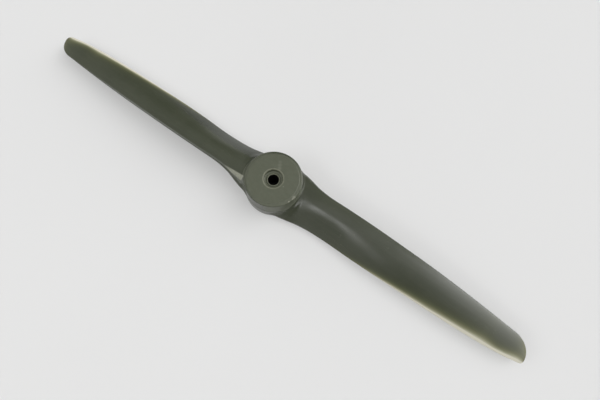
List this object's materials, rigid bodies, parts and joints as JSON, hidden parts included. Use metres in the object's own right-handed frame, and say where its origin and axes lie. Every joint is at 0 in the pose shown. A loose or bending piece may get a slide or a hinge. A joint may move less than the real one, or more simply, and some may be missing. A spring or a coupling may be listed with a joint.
{
  "type": "model aircraft propeller",
  "caption": "Moulded two-blade model aircraft propeller with twisted tapered blades, a round flat-faced hub, a recessed shaft bore and a bushing.",
  "frame": {"origin": "on the shaft axis, in the plane of the hub's rear face", "axes": "+Z along the shaft axis towards the front, +X along one blade from hub to tip, +Y towards that blade's leading edge"},
  "size_m": [0.4064, 0.0426, 0.0196],
  "materials": {
    "moulded_nylon": "satin",
    "bushing_plastic": "satin"
  },
  "bodies": {
    "root": {"propeller_moulding": "moulded_nylon", "shaft_bushing": "bushing_plastic"}
  },
  "joints": []
}
